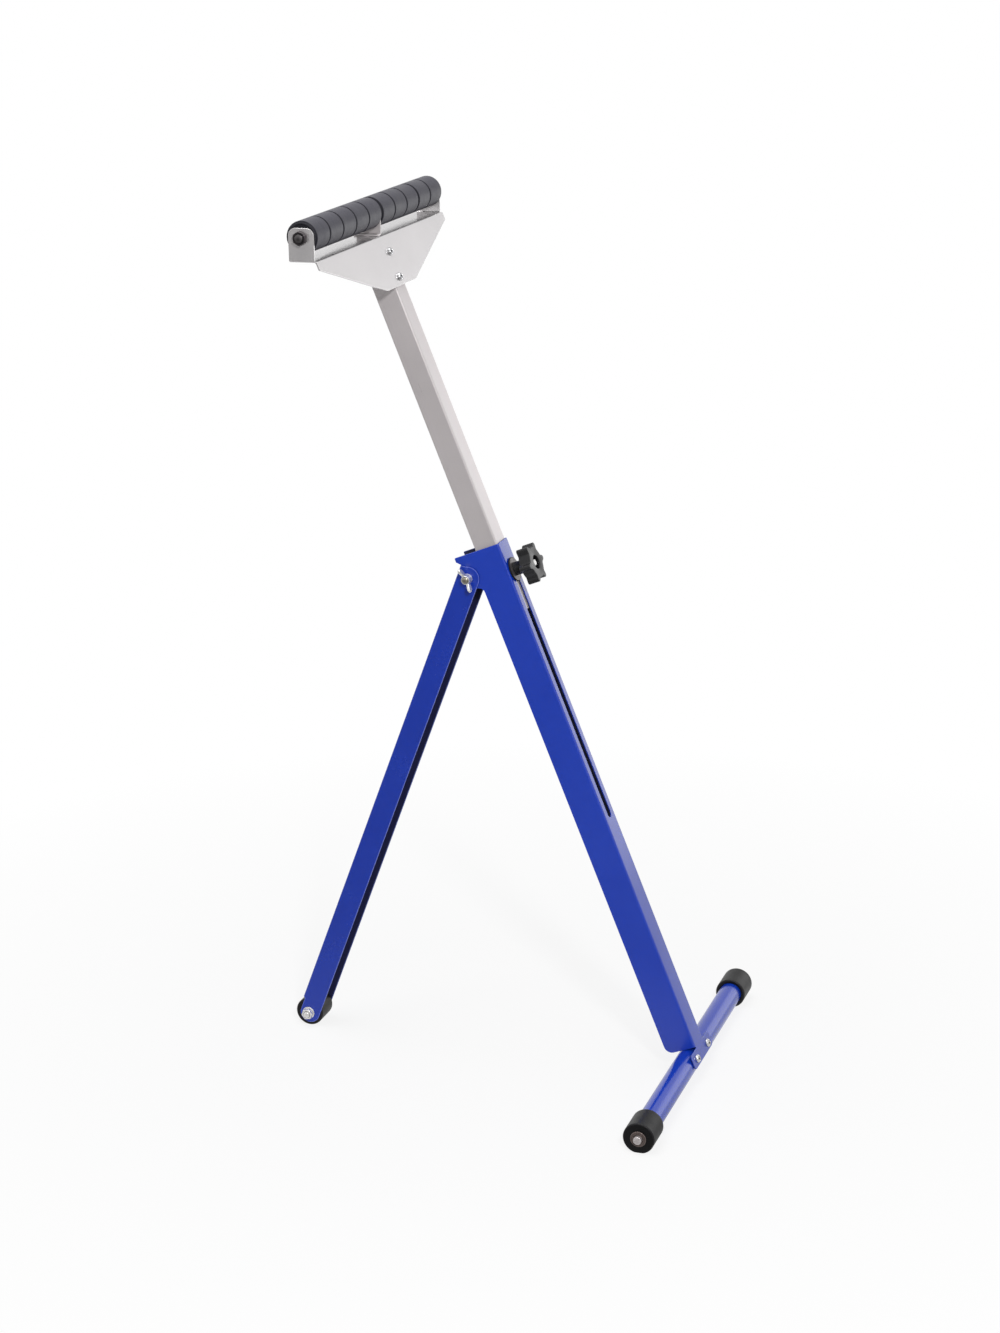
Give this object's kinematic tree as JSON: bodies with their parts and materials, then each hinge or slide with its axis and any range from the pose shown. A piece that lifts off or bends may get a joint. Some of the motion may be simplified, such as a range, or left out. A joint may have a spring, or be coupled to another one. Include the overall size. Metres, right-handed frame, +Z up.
{
  "type": "roller stand",
  "caption": "Folding roller stand: a leaning channel leg on a tubular cross foot, a hinged rear leg and a clamped sliding post carrying a row of loose rollers on one axle.",
  "frame": {"origin": "on the floor, under the middle of the overall box", "axes": "+X towards the cross foot (front), +Y along the roller axle, +Z up"},
  "size_m": [0.5498, 0.4868, 1.08],
  "materials": {
    "blue_powder_coat": "glossy powder coat",
    "zinc_sheet": "satin zinc plate",
    "zinc_hardware": "bright zinc plate",
    "black_rubber": "matt moulded rubber",
    "black_plastic": "fine-grained moulded plastic",
    "grey_roller_plastic": "satin plastic",
    "blackened_steel": "oiled black oxide"
  },
  "bodies": {
    "front_frame": {"front_leg_channel": "blue_powder_coat", "foot_tube": "blue_powder_coat", "foot_cap_near": "black_rubber", "foot_cap_far": "black_rubber", "foot_rod": "zinc_hardware", "foot_washer_near": "zinc_hardware", "foot_washer_far": "zinc_hardware", "tab_screw_near": "zinc_hardware", "tab_screw_far": "zinc_hardware", "pivot_bolt": "zinc_hardware", "pivot_sleeve": "zinc_hardware", "pivot_washer_near": "zinc_hardware", "pivot_washer_far": "zinc_hardware"},
    "wing_nut": {"wing_nut": "zinc_hardware"},
    "rear_leg": {"rear_leg_channel": "blue_powder_coat", "rear_foot": "black_rubber", "rear_foot_bolt": "zinc_hardware", "rear_foot_washer": "zinc_hardware", "rear_foot_nut": "zinc_hardware"},
    "post": {"inner_post": "zinc_sheet", "clamp_bolt": "zinc_hardware", "clamp_washer": "black_plastic", "head_bracket": "zinc_sheet", "head_middle_ear": "zinc_sheet", "head_screw_upper": "zinc_hardware", "head_screw_lower": "zinc_hardware", "axle_rod": "zinc_hardware", "axle_nut_near": "blackened_steel", "axle_nut_far": "blackened_steel"},
    "knob": {"clamp_knob": "black_plastic"},
    "roller_01": {"roller_01": "grey_roller_plastic"},
    "roller_02": {"roller_02": "grey_roller_plastic"},
    "roller_03": {"roller_03": "grey_roller_plastic"},
    "roller_04": {"roller_04": "grey_roller_plastic"},
    "roller_05": {"roller_05": "grey_roller_plastic"},
    "roller_06": {"roller_06": "grey_roller_plastic"},
    "roller_07": {"roller_07": "grey_roller_plastic"},
    "roller_08": {"roller_08": "grey_roller_plastic"},
    "roller_09": {"roller_09": "grey_roller_plastic"},
    "roller_10": {"roller_10": "grey_roller_plastic"}
  },
  "joints": [
    {"name": "rear_leg_fold", "type": "hinge", "parent": "front_frame", "child": "rear_leg", "pos_m": [-0.02192, 0, 0.62448], "axis": [0, -1, 0], "range_deg": [0, 42]},
    {"name": "post_slide", "type": "slide", "parent": "front_frame", "child": "post", "axis": [-0.3657, 0, 0.9307], "range_m": [-0.326, 0]},
    {"name": "knob_turn", "type": "hinge", "parent": "post", "child": "knob", "pos_m": [0.03077, 0, 0.63476], "axis": [0.9307, 0, 0.3657], "range_deg": [0, 360]},
    {"name": "wing_nut_turn", "type": "hinge", "parent": "front_frame", "child": "wing_nut", "pos_m": [-0.02192, 0, 0.62448], "axis": [0, -1, 0], "range_deg": [0, 360]},
    {"name": "roller_01_spin", "type": "hinge", "parent": "post", "child": "roller_01", "pos_m": [-0.14468, 0, 1.0611], "axis": [0, 1, 0], "continuous": true},
    {"name": "roller_02_spin", "type": "hinge", "parent": "post", "child": "roller_02", "pos_m": [-0.14468, 0, 1.0611], "axis": [0, 1, 0], "continuous": true},
    {"name": "roller_03_spin", "type": "hinge", "parent": "post", "child": "roller_03", "pos_m": [-0.14468, 0, 1.0611], "axis": [0, 1, 0], "continuous": true},
    {"name": "roller_04_spin", "type": "hinge", "parent": "post", "child": "roller_04", "pos_m": [-0.14468, 0, 1.0611], "axis": [0, 1, 0], "continuous": true},
    {"name": "roller_05_spin", "type": "hinge", "parent": "post", "child": "roller_05", "pos_m": [-0.14468, 0, 1.0611], "axis": [0, 1, 0], "continuous": true},
    {"name": "roller_06_spin", "type": "hinge", "parent": "post", "child": "roller_06", "pos_m": [-0.14468, 0, 1.0611], "axis": [0, 1, 0], "continuous": true},
    {"name": "roller_07_spin", "type": "hinge", "parent": "post", "child": "roller_07", "pos_m": [-0.14468, 0, 1.0611], "axis": [0, 1, 0], "continuous": true},
    {"name": "roller_08_spin", "type": "hinge", "parent": "post", "child": "roller_08", "pos_m": [-0.14468, 0, 1.0611], "axis": [0, 1, 0], "continuous": true},
    {"name": "roller_09_spin", "type": "hinge", "parent": "post", "child": "roller_09", "pos_m": [-0.14468, 0, 1.0611], "axis": [0, 1, 0], "continuous": true},
    {"name": "roller_10_spin", "type": "hinge", "parent": "post", "child": "roller_10", "pos_m": [-0.14468, 0, 1.0611], "axis": [0, 1, 0], "continuous": true}
  ]
}
